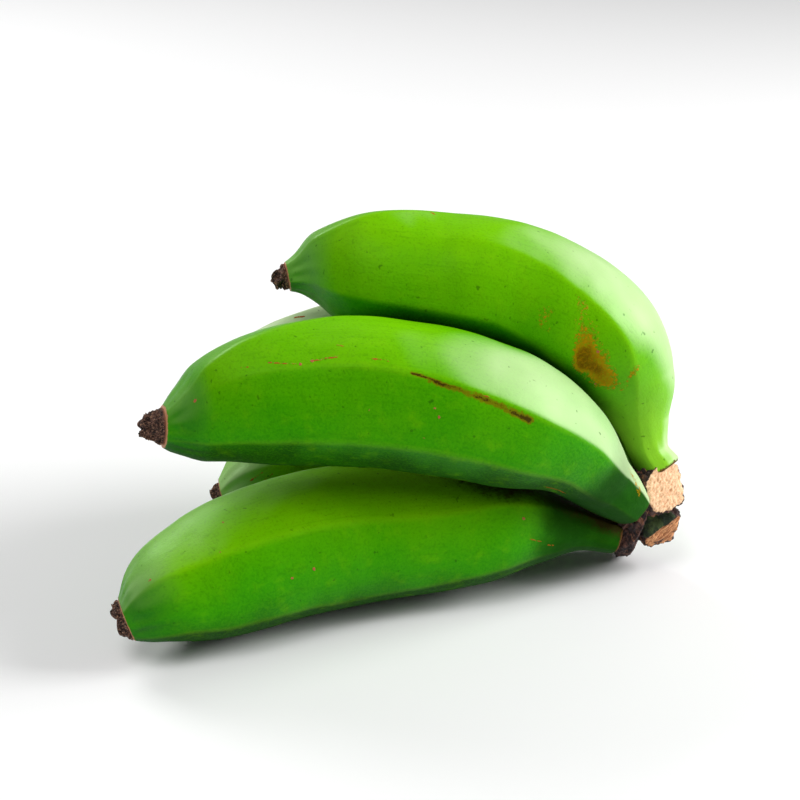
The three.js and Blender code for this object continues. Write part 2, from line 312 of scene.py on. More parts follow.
RIDGES = {                  # angles, then heights, read at even steps from tip to neck
    "finger_top": [
        ((57, 22, -5, -8, -10, -12), (0.26, 0.12, 0.03, 0.03, 0.04, 0.05)),
        ((55, 55, 58, 73, 83, 108), (0.0, 0.0, 0.06, 0.1, 0.13, 0.12)),
        ((118, 118, 120, 128, 142, 160), (0.2, 0.18, 0.14, 0.1, 0.1, 0.12)),
        ((195, 200, 215), (0.15, 0.09, 0.12)), ((262, 270, 280), (0.15, 0.07, 0.1))],
    "finger_middle": [
        ((56, 31, 2, -8, -10, -15), (0.2, 0.16, 0.05, 0.03, 0.05, 0.1)),
        ((71, 70, 72, 80, 84, 56), (0.05, 0.09, 0.13, 0.17, 0.18, 0.18)),
        ((130, 130, 129, 129, 126, 108), (0.1, 0.11, 0.13, 0.13, 0.14, 0.14)),
        ((200, 200, 190), (0.14, 0.09, 0.12)), ((285, 285, 270), (0.12, 0.08, 0.12))],
    "finger_bottom": [
        ((8, 10, 0), (0.06, 0.05, 0.1)),
        ((72, 78, 78, 78, 71, 48), (0.18, 0.15, 0.12, 0.12, 0.14, 0.15)),
        ((142, 146, 130), (0.12, 0.08, 0.1)), ((215, 215, 210), (0.12, 0.07, 0.12)),
        ((290, 290, 285), (0.1, 0.07, 0.12))],
    "finger_rear_upper": [
        ((22, 20, 15), (0.14, 0.08, 0.12)), ((92, 90, 80), (0.12, 0.08, 0.12)),
        ((162, 160, 150), (0.14, 0.09, 0.12)), ((236, 235, 225), (0.14, 0.12, 0.14)),
        ((310, 308, 300), (0.14, 0.11, 0.12))],
    "finger_rear_lower": [
        ((10, 15, 10), (0.14, 0.08, 0.12)), ((66, 85, 80), (0.16, 0.07, 0.12)),
        ((150, 155, 150), (0.14, 0.08, 0.12)), ((228, 230, 220), (0.14, 0.12, 0.14)),
        ((302, 300, 290), (0.14, 0.1, 0.12))],
}


def readings_along(values, share):
    """Values read at even steps from READ_FROM to READ_TO, joined by straight lines and rounded
    off by averaging each place with its surroundings, up to a tenth of the length away."""
    places = np.linspace(READ_FROM, READ_TO, len(values))
    around = np.linspace(-0.1, 0.1, 21)
    weight = np.cos(around * 5.0 * np.pi) + 1.0
    return np.interp(share[:, None] + around[None, :], places, values) @ (weight / weight.sum())


def turn_between(angle, other):
    """Signed difference of two angles in degrees, between -180 and 180."""
    return (angle - other + 180.0) % 360.0 - 180.0


def ridged_section(name, share, angle):
    """Radius as a share of the mean one: 1 plus, for each ridge, its height times
    exp(-sqrt(turn^2 + rounding^2) / width), less the mean of that sum round the section.
    Also gives how near each point is to a ridge, from 0 to 1."""
    total = np.zeros((len(share), len(angle)))
    near = np.zeros_like(total)
    for angles, heights in RIDGES[name]:
        turn = turn_between(angle[None, :], readings_along(angles, share)[:, None])
        height = np.clip(readings_along(heights, share), 0.0, None)[:, None]
        total += height * np.exp(-np.sqrt(turn ** 2 + RIDGE_ROUNDING ** 2) / RIDGE_WIDTH)
        near = np.maximum(near, np.exp(-(turn / 4.0) ** 2) * np.clip(height / 0.1, 0, 1.2))
    return 1.0 + total - total.mean(1, keepdims=True), near


# %% [markdown]
# ## Marks on the skin
#
# Nothing that grows is clean. These fingers carry a rubbed brown bruise, a bruised line along one
# ridge, a thin tan scab on one neck, corky scratches and a few dots. A texture could be painted on,
# but it would be fixed to one size. Instead each mark is a place in the finger's own measure, mm
# from the tip and degrees round from the upper side, and the skin stores its distance to the
# nearest mark. Distance is a smooth field, so the shader can cut crisp edges out of it that are
# finer than the mesh.

# %% Where the marks are
SCRATCHES = {               # runs of (mm from tip, degrees), each with a half width in mm
    "finger_middle": [
        ([(31, 63), (34.5, 66), (38, 67.5)], 0.22), ([(42.5, 66.5), (49, 64)], 0.28),
        ([(58, 66), (62.5, 67)], 0.22), ([(24, 62), (26, 63.5)], 0.18),
        ([(49, 53), (51, 55)], 0.18), ([(116, 146), (121, 145), (126, 143)], 0.25),
        ([(86, 80), (88.5, 81)], 0.2)],
    "finger_top": [([(40.2, 17), (41.2, 20)], 0.35)],
    "finger_bottom": [([(124, 103), (128, 108)], 0.14), ([(130, 114), (132, 117)], 0.18)],
    "finger_rear_upper": [([(24.5, 27), (27, 30)], 0.35), ([(70, 200), (79, 206)], 0.3),
                          ([(48, 262), (55, 258), (60, 259)], 0.25)],
    "finger_rear_lower": [([(8, 80), (11, 74)], 0.2), ([(9.5, 88), (13, 78)], 0.15),
                          ([(60, 236), (69, 241)], 0.3), ([(90, 260), (94, 266)], 0.25)],
}
DOTS = {                    # (mm from tip, degrees, radius in mm)
    "finger_middle": [(7.8, 71, 0.5), (39.2, 68, 0.5), (42.3, 66.5, 0.55), (75.2, 96, 0.4),
                      (76.8, 102, 0.5), (57.8, 103, 0.35), (73.7, 119, 0.35)],
    "finger_bottom": [(32, 47, 0.4), (26.3, 73, 0.4), (9.7, 66, 0.4), (51, 108, 0.6),
                      (43.6, 111, 0.5), (121.6, 80, 0.5), (60, 96, 0.3)],
    "finger_top": [(97.1, 104, 0.5), (105.8, 126, 0.45), (62, 190, 0.5), (30, 228, 0.45)],
    "finger_rear_upper": [(44, 215, 0.5), (92, 236, 0.6), (61, 300, 0.4)],
    "finger_rear_lower": [(40, 250, 0.5), (75, 292, 0.5), (104, 232, 0.5)],
}
BRUISES = {                 # (mm from tip, degrees, half length, half width in mm, tilt, depth)
    "finger_top": [
        (92.5, 103, 4.6, 2.4, 62, 0.72), (97, 111, 4.4, 3.6, 20, 0.85), (95.5, 121, 2.6, 1.4, 30, 1.0),
        (99.5, 117.5, 2.8, 1.2, -25, 0.9), (94.6, 115, 2.4, 1.7, 60, 0.9), (103, 112, 4.6, 2.8, 8, 0.8),
        (109, 109, 3.4, 2.0, -25, 0.55), (87.5, 92, 3.6, 1.8, 60, 0.52), (109, 90, 3.0, 1.0, 60, 0.5),
        (78, 104, 4.0, 2.6, 50, 0.45), (84.5, 79, 3.0, 1.4, 20, 0.4), (104, 121, 4.0, 2.4, 0, 0.5)],
    "finger_middle": [(140, 49, 3.4, 0.6, 15, 0.45), (145, 60, 3.2, 0.7, 25, 0.5)],
    "finger_rear_upper": [(84, 250, 5.0, 2.6, 15, 0.8), (88, 246, 2.4, 1.6, -20, 1.3)],
    "finger_rear_lower": [(58, 228, 4.0, 1.8, -12, 0.65)],
}
RUBBED_RIDGES = {           # a bruised line: its run of (mm from tip, degrees)
    "finger_middle": [(68.5, 74.5), (76, 78.5), (84, 82), (92, 84.5), (99.5, 87)],
}
RUBBED_TURN = 79            # degrees that part the sharp upper side of the line from its lower side
RUBBED_ABOVE, RUBBED_BELOW = 0.45, 1.15     # mm over which it fades on each


def unrolled(distance, angle, radius, at, degrees):
    """Steps in mm along and round the skin from a mark to every point of a finger."""
    return (distance[:, None] - at,
            np.radians(turn_between(angle[None, :], degrees)) * radius[:, None])


def distance_to_run(distance, angle, radius, run):
    """Shortest way over the unrolled skin from every point to a run of straight stretches."""
    best = np.full((len(distance), len(angle)), 1e3)
    for (s0, a0), (s1, a1) in zip(run[:-1], run[1:]):
        x, y = unrolled(distance, angle, radius, s0, a0)
        end_x, end_y = s1 - s0, np.radians(a1 - a0) * radius[:, None]
        share = np.clip((x * end_x + y * end_y) / (end_x ** 2 + end_y ** 2), 0.0, 1.0)
        best = np.minimum(best, np.hypot(x - share * end_x, y - share * end_y))
    return best


def skin_marks(name, distance, angle, radius):
    """Four fields for a finger: how far inside the nearest scratch and dot each point is, in mm,
    the depth of bruising, and the depth of the rubbed line."""
    shape = (len(distance), len(angle))
    scratch, dot = np.full(shape, -5.0), np.full(shape, -5.0)
    bruise, rubbed = np.zeros(shape), np.zeros(shape)
    for run, half_width in SCRATCHES.get(name, []):
        scratch = np.maximum(scratch, half_width - distance_to_run(distance, angle, radius, run))
    for at, degrees, size in DOTS.get(name, []):
        dot = np.maximum(dot, size - np.hypot(*unrolled(distance, angle, radius, at, degrees)))
    for at, degrees, length, width, tilt, depth in BRUISES.get(name, []):
        x, y = unrolled(distance, angle, radius, at, degrees)
        c, s = np.cos(np.radians(tilt)), np.sin(np.radians(tilt))
        spread = ((x * c + y * s) / length) ** 2 + ((y * c - x * s) / width) ** 2
        bruise += depth * np.exp(-0.7 * spread)
    if name in RUBBED_RIDGES:
        run = RUBBED_RIDGES[name]
        from_line = distance_to_run(distance, angle, radius, run)
        below = unrolled(distance, angle, radius, 0, RUBBED_TURN)[1] > 0
        rubbed = np.exp(-(from_line / np.where(below, RUBBED_BELOW, RUBBED_ABOVE)) ** 2)
        rubbed *= 0.92 + 0.16 * soft_noise(distance[:, None, None] * [1.0, 0.0, 0.0], 9.0, 7)
    return scratch, dot, bruise, rubbed


# %% [markdown]
# ## The finger skins
#
# Now the sections are carried along the centre lines. Small bumps are added in the mesh itself and
# not only in the shader: slow swellings, fine wrinkles where the skin gathers at the tip and in the
# neck, and the slight hollow of the bruise. With the shape the skin stores what its finish needs:
# its place on the straightened finger, how light its green is painted by the way it faces (painted
# shade), where the painted highlight lies, how near the next finger is, and the mark fields.

# %% Skin surface
SKIN_ROWS, SKIN_COLUMNS = 280, 250
END_FOLD, FOLD_DEPTH = 0.9, 0.12    # mm over which the skin folds into the crown, share it narrows
SWELLING, RIPPLE = 0.22, 0.05       # mm of the slow and the finer bumps
TIP_WRINKLE, NECK_WRINKLE = 0.15, 0.045     # mm of the gathers at the two ends
BRUISE_SINK, RUBBED_SINK = 0.12, 0.1        # mm by which a full bruise and the rubbed line sink
LOWEST_SKIN = 0.05          # mm above the surface
# Painted shade: how light a finger's green is, and how much lighter it is painted on the side that
# faces up. The rear lower finger lies in the others' shade, so its green is painted lighter.
TONES = {"finger_top": 0.17, "finger_middle": -0.03, "finger_bottom": -0.06,
         "finger_rear_upper": 0.2, "finger_rear_lower": 0.5}
PAINTED_SHADE_RISES = {"finger_top": 0.38, "finger_middle": 0.5, "finger_bottom": 0.65,
              "finger_rear_upper": 0.5, "finger_rear_lower": 0.9}
PAINTED_HIGHLIGHTS = {                  # side on which the painted highlight lies, and how strong it is
    "finger_top": ((0.78, -0.2, 0.6), 1.0), "finger_middle": ((0.78, -0.2, 0.6), 1.0),
    "finger_bottom": ((-0.6, -0.1, 0.8), 0.22), "finger_rear_upper": ((-0.3, -0.1, 0.95), 1.5),
    "finger_rear_lower": ((-0.4, -0.5, 0.75), 0.5)}
DARK_NECKS = {              # how dark the neck is, or how pale where it is below 0
    "finger_top": -0.7, "finger_middle": 1.0, "finger_bottom": 1.0,
    "finger_rear_upper": 0.7, "finger_rear_lower": 0.7}
DIRT_AND_SHADE_PAIR = ["finger_middle", "finger_bottom"]     # real dirt has gathered between these two, and painted shade lies on their undersides


def skin_surface(name, seed):
    """Ring of radius mean(distance) * section(angle) round each centre, pushed out by the bumps:
    swellings + ripples + tip wrinkles + neck wrinkles - bruise - rubbed line."""
    distance, centre, radius, _, front, upper = centre_line(name, SKIN_ROWS)
    angle = np.linspace(0.0, 360.0, SKIN_COLUMNS, endpoint=False)
    share = distance / distance[-1]
    section, near_ridge = ridged_section(name, share, angle)
    fold = smooth_step(distance, distance[-1] - END_FOLD, distance[-1]) ** 2
    radius = radius * (1.0 - FOLD_DEPTH * fold)
    turn = np.radians(angle)[None, :, None]
    outward = np.cos(turn) * upper[:, None] + np.sin(turn) * front[:, None]
    straight = np.stack(np.broadcast_arrays(
        radius[:, None] * np.cos(turn[..., 0]), radius[:, None] * np.sin(turn[..., 0]),
        distance[:, None]), -1)

    tip = 1.0 - smooth_step(distance, 2.0, 16.0)[:, None]
    neck = smooth_step(share, 0.78, 0.87)[:, None]
    tint_from, tint_to = (0.78, 0.87) if DARK_NECKS[name] > 0 else (0.6, 0.95)
    neck_tint = DARK_NECKS[name] * smooth_step(share, tint_from, tint_to)[:, None]
    wrinkle_turn = 13.0 * turn[..., 0] + 1.2 * soft_noise(straight, 14.0, seed + 1)
    scratch, dot, bruise, rubbed = skin_marks(name, distance, angle, radius)
    bumps = SWELLING * soft_noise(straight, 34.0, seed + 2)
    bumps += RIPPLE * soft_noise(straight, 9.0, seed + 3)
    bumps += TIP_WRINKLE * tip * np.sin(wrinkle_turn)
    bumps += NECK_WRINKLE * neck * np.sin(wrinkle_turn * 0.8)
    bumps -= BRUISE_SINK * np.clip(bruise, 0, 1.5)
    bumps -= RUBBED_SINK * rubbed
    bumps *= smooth_step(distance, 0.0, 3.0)[:, None]
    skin = centre[:, None] + outward * (radius[:, None] * section + bumps)[..., None]
    skin[..., 2] = np.maximum(skin[..., 2], LOWEST_SKIN)
    fields = {"scratch": scratch, "dot": dot, "bruise": bruise, "rubbed": rubbed,
              "near_ridge": near_ridge, "tip": tip, "neck": neck_tint,
              "from_tip": distance[:, None], "from_crown": distance[-1] - distance[:, None]}
    return skin, straight, {field: np.broadcast_to(values, bumps.shape)
                            for field, values in fields.items()}


FAR = 30.0                  # mm, a gap that counts as none


def gap_to_neighbours(name, skin, others):
    """Distance in mm from every skin point to the nearest of the other fingers, taken as the
    distance to that finger's centre line less its radius there."""
    points = skin.reshape(-1, 3)
    gap = np.full(len(points), FAR)
    for other in others:
        if other != name:
            _, centre, radius, *_ = centre_line(other, 110)
            squared = ((points ** 2).sum(1)[:, None] + (centre ** 2).sum(1)[None]
                       - 2.0 * points @ centre.T)
            gap = np.minimum(gap, (np.sqrt(np.clip(squared, 0, None)) - radius).min(1))
    return gap.reshape(skin.shape[:2])


def make_finger(name, seed):
    """Builds one finger skin, stores its fields and swaps it for the CAD solid."""
    skin, straight, fields = skin_surface(name, seed)
    fields["gap"] = gap_to_neighbours(name, skin, STATIONS)
    # The gap to the other of the pair serves both real dirt and painted shade.
    fields["dirt_and_shade_gap"] = gap_to_neighbours(name, skin, DIRT_AND_SHADE_PAIR if name in DIRT_AND_SHADE_PAIR else [])
    piece = closed_grid("skin_" + name[7:], skin, skin[0].mean(0), skin[-1].mean(0))
    write_attribute(piece, "straight", padded_ends(straight) * MM, "FLOAT_VECTOR")
    for field, values in fields.items():
        write_attribute(piece, field, padded_ends(values))
    facing = np.zeros((len(piece.data.vertices), 3), np.float32)
    piece.data.vertex_normals.foreach_get("vector", facing.ravel())
    # The tone is painted shade: lighter where the skin faces up and to the front, darker where it faces
    # down.
    write_attribute(piece, "painted_shade_tone", facing[:, 2] * PAINTED_SHADE_RISES[name] - facing[:, 1] * 0.1 + TONES[name])
    side, strength = PAINTED_HIGHLIGHTS[name]
    # A painted highlight: pale on the side that faces the strongest lamp.
    write_attribute(piece, "painted_highlight", strength * smooth_step(facing @ side, 0.72, 0.97))
    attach(piece, "root")
    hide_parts(name)
    return piece


fingers = {name: make_finger(name, 10 * k) for k, name in enumerate(STATIONS)}
for name, piece in fingers.items():
    low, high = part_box(name)
    points = np.array([v.co for v in piece.data.vertices])
    print(name, len(piece.data.vertices), "points, off the CAD box by",
          np.round((points.min(0) - low) / MM, 1), np.round((points.max(0) - high) / MM, 1), "mm")

# %% [markdown]
# ## The green skin
#
# One finish serves all five fingers. The skin is painted with shade, from a deep green where it
# faces down to a yellower green where it faces up, with slow mottling, fine fibres that run from tip
# to neck, and scattered pinprick pores. The tip turns bluish green with a painted highlight on top,
# the necks are dark, a painted highlight lies pale on the shoulders, and painted shade darkens the
# skin where the fingers lie close to each other. Two shaders mixed could do this, but one Principled
# shader with its colour built up in layers is easier to follow: every layer mixes a new colour over
# the last by a mask.

# %% Node helpers
class Finish:
    """A material's node tree with short calls for the few node kinds the finishes use."""

    def __init__(self, name):
        self.material = bpy.data.materials.new(name)
        self.material.use_nodes = True
        self.tree = self.material.node_tree
        self.shader = self.tree.nodes["Principled BSDF"]

    def node(self, kind, links=(), **settings):
        """A node of one kind; links holds a value or another node's socket for each input."""
        made = self.tree.nodes.new(kind)
        for key, value in settings.items():
            setattr(made, key, value)
        for socket, value in dict(links).items():
            if isinstance(value, bpy.types.NodeSocket):
                self.tree.links.new(value, made.inputs[socket])
            else:
                made.inputs[socket].default_value = value
        return made

    def field(self, name):
        """A number stored on the piece's points."""
        return self.node("ShaderNodeAttribute", attribute_name=name).outputs["Fac"]

    def place(self, name):
        """A vector stored on the piece's points."""
        return self.node("ShaderNodeAttribute", attribute_name=name).outputs["Vector"]

    def noise(self, vector, scale, detail=3.0, roughness=0.5, stretch=(1, 1, 1)):
        """Soft noise about 1 / scale metres wide, drawn out where stretch is below 1."""
        mapped = self.node("ShaderNodeMapping", {"Vector": vector, "Scale": stretch}).outputs[0]
        made = self.node("ShaderNodeTexNoise", {
            "Vector": mapped, "Scale": scale, "Detail": detail, "Roughness": roughness})
        return made.outputs["Fac"]

    def math(self, operation, a, b):
        """One sum on two values or sockets."""
        return self.node("ShaderNodeMath", {0: a, 1: b}, operation=operation).outputs[0]

    def around_zero(self, noise, amount):
        """Noise shifted from around a half to around 0, and scaled."""
        return self.math("MULTIPLY", self.math("SUBTRACT", noise, 0.5), amount)

    def ramp(self, value, low, high, to_low=0.0, to_high=1.0):
        """A smooth step from to_low to to_high as the value goes from low to high."""
        made = self.node("ShaderNodeMapRange", {
            "Value": value, "From Min": low, "From Max": high,
            "To Min": to_low, "To Max": to_high}, interpolation_type="SMOOTHSTEP")
        return made.outputs[0]

    def layer(self, mask, below, above):
        """Colour above over colour below, where the mask is 1."""
        made = self.node("ShaderNodeMix", data_type="RGBA")
        for socket, value in ((made.inputs[0], mask), (made.inputs[6], below), (made.inputs[7], above)):
            if isinstance(value, bpy.types.NodeSocket):
                self.tree.links.new(value, socket)
            else:
                socket.default_value = value
        return made.outputs[2]

    def bump(self, height, distance, normal=None):
        """Relief of the given distance in metres, on top of a normal where one is given."""
        links = {"Height": height, "Distance": distance, "Strength": 1.0}
        if normal is not None:
            links["Normal"] = normal
        return self.node("ShaderNodeBump", links).outputs[0]

    def finish(self, color, roughness, normal, **constants):
        """Joins the three to the shader, sets its constants and gives the material."""
        for socket, value in (("Base Color", color), ("Roughness", roughness), ("Normal", normal)):
            if isinstance(value, bpy.types.NodeSocket):
                self.tree.links.new(value, self.shader.inputs[socket])
            else:
                self.shader.inputs[socket].default_value = value
        for socket, value in constants.items():
            self.shader.inputs[socket.replace("_", " ")].default_value = value
        return self.material


def colour(r, g, b):
    """A colour given as sRGB 0..255, in the linear values that shaders take."""
    c = np.array([r, g, b]) / 255.0
    linear = np.where(c <= 0.04045, c / 12.92, ((c + 0.055) / 1.055) ** 2.4)
    return (*linear.tolist(), 1.0)


# %% Skin finish
def green_layers(f, straight, slow, mottle, grit, painted_shade_tone):
    """The green itself, from the bottom: deep green, sunny green by painted shade, mottling, grain,
    fibres, ridges, blue-green tip with a painted highlight, neck, painted highlight on the shoulders,
    painted shade where fingers lie close and under the dirt-and-shade pair, and pores."""
    fibre = f.noise(straight, 900.0, 3.0, 0.6, (1.0, 1.0, 0.035))
    speck = f.noise(straight, 620.0, 1.0)
    # Painted shade: deep green where the skin faces down, sunny green where it faces up.
    green = f.layer(f.ramp(painted_shade_tone, -0.42, 0.08), colour(2, 52, 0), colour(50, 150, 0))
    green = f.layer(f.ramp(painted_shade_tone, 0.0, 0.75), green, colour(122, 194, 0))
    green = f.layer(f.ramp(mottle, 0.5, 0.8, 0.0, 0.2), green, colour(140, 205, 0))
    green = f.layer(f.ramp(grit, 0.42, 0.66, 0.0, 0.16), green, colour(96, 186, 0))
    green = f.layer(f.ramp(grit, 0.5, 0.3, 0.0, 0.22), green, colour(10, 88, 0))
    green = f.layer(f.ramp(fibre, 0.52, 0.75, 0.0, 0.16), green, colour(24, 96, 0))
    green = f.layer(f.ramp(f.field("near_ridge"), 0.3, 1.1, 0.0, 0.14), green, colour(132, 192, 10))

    tip = f.math("MULTIPLY", f.field("tip"), f.ramp(slow, 0.25, 0.6))
    green = f.layer(f.math("MULTIPLY", tip, 0.8), green, colour(22, 88, 28))
    # A painted highlight on the upper side of the tip.
    painted_tip_highlight = f.math("MULTIPLY", f.field("tip"), f.ramp(painted_shade_tone, 0.12, 0.45))
    green = f.layer(f.math("MULTIPLY", painted_tip_highlight, 0.5), green, colour(142, 198, 104))

    neck = f.math("ADD", f.field("neck"), f.around_zero(mottle, 0.6))
    neck = f.math("MULTIPLY", neck, f.ramp(f.field("neck"), 0.0, 0.3))
    green = f.layer(f.ramp(neck, 0.0, 1.1, 0.0, 0.9), green, colour(4, 54, 0))
    green = f.layer(f.ramp(f.field("neck"), 0.0, -1.0, 0.0, 0.8), green, colour(150, 206, 56))

    # Painted highlight: pale mint on the shoulders that face the strongest lamp.
    painted_highlight_mask = f.math("MULTIPLY", f.field("painted_highlight"), f.ramp(slow, 0.2, 0.75, 0.5, 0.9))
    green = f.layer(painted_highlight_mask, green, colour(198, 221, 170))
    # Painted shade: near-black green where another finger lies close.
    painted_gap_shade = f.math("ADD", f.field("gap"), f.around_zero(slow, 4.0))
    green = f.layer(f.ramp(painted_gap_shade, 5.5, 0.8, 0.0, 0.85), green, colour(2, 40, 0))
    # Painted shade on the undersides of the pair where they lie near each other.
    painted_underside_shade = f.math("ADD", f.field("dirt_and_shade_gap"), f.around_zero(slow, 3.0))
    painted_underside_shade = f.math("MULTIPLY", f.ramp(painted_underside_shade, 9.0, 3.0, 0.0, 0.85), f.ramp(painted_shade_tone, 0.12, -0.12))
    green = f.layer(painted_underside_shade, green, colour(2, 38, 0))
    green = f.layer(f.ramp(speck, 0.72, 0.78, 0.0, 0.5), green, colour(18, 64, 2))
    return green, fibre, neck


def mark_layers(f, green, straight, mottle, grit):
    """The marks over the green, each cut out of its field with a ragged edge: bruise, rubbed line,
    scratches, dots, the tan rim at the blossom, dirt, and the brown seam at the crown."""
    crumb = f.noise(straight, 1000.0, 5.0, 0.75)
    patchy = f.math("ADD", f.around_zero(mottle, 1.5), f.around_zero(crumb, 3.0))
    bruise = f.math("ADD", f.field("bruise"), patchy)
    bruise = f.math("MULTIPLY", bruise, f.ramp(f.field("bruise"), 0.05, 0.3))
    ochre = f.ramp(bruise, 0.36, 0.8)
    dark = f.ramp(bruise, 1.0, 1.7)
    tan = f.math("MULTIPLY", ochre, f.ramp(grit, 0.35, 0.6, 0.7, 0.98))
    peel = f.layer(tan, green, colour(158, 122, 0))
    flakes = f.math("MULTIPLY", ochre, f.ramp(crumb, 0.52, 0.6, 0.0, 0.8))
    peel = f.layer(flakes, peel, colour(198, 136, 4))
    heart = f.math("MULTIPLY", dark, f.ramp(crumb, 0.3, 0.62, 0.98, 0.5))
    peel = f.layer(heart, peel, colour(96, 46, 0))

    edge = f.math("ADD", f.field("rubbed"), f.math("MULTIPLY", patchy, 0.6))
    edge = f.math("MULTIPLY", edge, f.ramp(f.field("rubbed"), 0.02, 0.2))
    peel = f.layer(f.ramp(edge, 0.35, 0.7, 0.0, 0.8), peel, colour(120, 100, 6))
    peel = f.layer(f.ramp(edge, 0.8, 1.05, 0.0, 0.9), peel, colour(58, 28, 8))

    wobble = f.around_zero(grit, 0.7)
    scratch = f.ramp(f.math("ADD", f.field("scratch"), wobble), -0.04, 0.1)
    peel = f.layer(scratch, peel, colour(166, 84, 26))
    dot = f.ramp(f.math("ADD", f.field("dot"), wobble), -0.06, 0.12)
    peel = f.layer(dot, peel, colour(178, 96, 66))
    rim = f.ramp(f.math("ADD", f.field("from_tip"), wobble), 0.3, 0.1)
    peel = f.layer(rim, peel, colour(198, 134, 100))
    dirt = f.math("ADD", f.field("dirt_and_shade_gap"), f.math("MULTIPLY", patchy, 2.6))
    peel = f.layer(f.ramp(dirt, 4.2, 2.0, 0.0, 0.7), peel, colour(44, 50, 2))
    peel = f.layer(f.ramp(dirt, 2.6, 1.0, 0.0, 0.85), peel, colour(46, 24, 8))
    seam = f.ramp(f.math("ADD", f.field("from_crown"), f.math("MULTIPLY", patchy, 0.8)), 0.9, 0.3)
    peel = f.layer(seam, peel, colour(92, 58, 34))
    return peel, f.math("MAXIMUM", f.math("MAXIMUM", ochre, scratch), f.math("MAXIMUM", dot, seam))


def green_skin():
    """Green, then marks; waxy where the skin is clean, dull on marks, undersides and necks."""
    f = Finish("green_skin")
    straight = f.place("straight")
    slow = f.noise(straight, 38.0, 2.0)
    mottle = f.noise(straight, 210.0, 4.0, 0.6)
    grit = f.noise(straight, 1500.0, 2.0, 0.6)
    painted_shade_tone = f.math("ADD", f.field("painted_shade_tone"), f.around_zero(slow, 0.5))
    green, fibre, neck = green_layers(f, straight, slow, mottle, grit, painted_shade_tone)
    peel, marks = mark_layers(f, green, straight, mottle, grit)

    roughness = f.math("ADD", f.ramp(mottle, 0.3, 0.75, 0.36, 0.45), f.math("MULTIPLY", marks, 0.3))
    dull = f.math("MAXIMUM", f.ramp(painted_shade_tone, -0.05, -0.45), f.ramp(neck, 0.2, 1.0))
    roughness = f.math("ADD", roughness, f.math("MULTIPLY", dull, 0.35))
    height = f.math("ADD", f.math("MULTIPLY", fibre, 0.6), f.math("MULTIPLY", mottle, 0.8))
    normal = f.bump(height, 0.00012)
    normal = f.bump(f.math("ADD", grit, f.math("MULTIPLY", marks, 1.5)), 0.00006, normal)
    return f.finish(peel, roughness, normal, Specular_IOR_Level=0.26, IOR=1.45,
                    Specular_Tint=(0.3, 1.0, 0.1, 1.0))


skin_finish = green_skin()
for piece in fingers.values():
    piece.data.materials.append(skin_finish)
print("green skin has", len(skin_finish.node_tree.nodes), "nodes")

# %% [markdown]
# ## Dried blossom ends
#
# Each tip ends in the black-brown stub of its flower: five shrivelled ribs round a ragged, hollow
# top. It is a loft along the tip's aim whose radius shrinks in steps, folded by a five-fold wave and
# torn by noise that grows towards the top.

# %% Blossom surface
BLOSSOMS = {                # finger, length in mm, sideways lean, width left at the end
    "blossom_top": ("finger_top", 5.2, -1.5, 0.34),
    "blossom_middle": ("finger_middle", 7.8, -0.7, 0.3),
    "blossom_bottom": ("finger_bottom", 3.2, 0.9, 0.62),
    "blossom_rear_upper": ("finger_rear_upper", 5.0, -0.5, 0.45),
    "blossom_rear_lower": ("finger_rear_lower", 3.7, -0.4, 0.5),
}
BLOSSOM_ROWS, BLOSSOM_COLUMNS = 72, 150


def blossom_surface(finger, length, lean, blunt, seed):
    """Rings along the tip's aim. The radius falls from the tip's own to the blunt share of it,
    times the five-fold folds, plus torn noise; the last rows turn down into a hollow top."""
    _, centre, radius, along, front, upper = centre_line(finger, 200)
    rise = np.linspace(-0.08, 1.0, BLOSSOM_ROWS)[:, None]
    turn = np.linspace(0.0, 2 * np.pi, BLOSSOM_COLUMNS, endpoint=False)[None, :]
    taper = 0.95 - (0.95 - blunt) * smooth_step(rise, -0.3, 1.1)
    folds = 1.0 + 0.13 * smooth_step(rise, 0.05, 0.5) * np.cos(5 * turn + 0.8 * seed)
    ring = radius[0] * taper * folds
    flat = np.stack(np.broadcast_arrays(ring * np.cos(turn), ring * np.sin(turn), rise * length), -1)
    torn = (0.4 * soft_noise(flat, 2.8, seed) + 0.5 * (0.6 - np.abs(soft_noise(flat, 1.5, seed + 1)))
            + 0.16 * soft_noise(flat, 0.7, seed + 3))
    ring = ring + torn * smooth_step(rise, 0.0, 0.25)
    teeth = 0.8 * soft_noise(flat * [1, 1, 0.2], 2.4, seed + 2)
    ragged = rise * length + teeth * smooth_step(rise, 0.5, 0.9)
    hollow = smooth_step(rise, 0.8, 1.0)
    ring = np.maximum(ring * (1 - 0.95 * hollow), 0.12)
    ragged = ragged - 0.45 * length * hollow ** 2
    out = np.cos(turn)[..., None] * upper[0] + np.sin(turn)[..., None] * front[0]
    shape = centre[0] + out * ring[..., None] - along[0] * ragged[..., None]
    return shape + upper[0] * (lean * rise ** 2)[..., None], np.broadcast_to(rise, ring.shape)


def make_blossom(name, seed):
    """Builds one blossom end, stores how far up it each point is and swaps it for the CAD solid."""
    finger, length, lean, blunt = BLOSSOMS[name]
    shape, rise = blossom_surface(finger, length, lean, blunt, seed)
    piece = closed_grid("dried_" + name, shape, shape[0].mean(0), shape[-1].mean(0), flip=True)
    write_attribute(piece, "rise", padded_ends(rise))
    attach(piece, "root")
    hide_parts(name)
    return piece


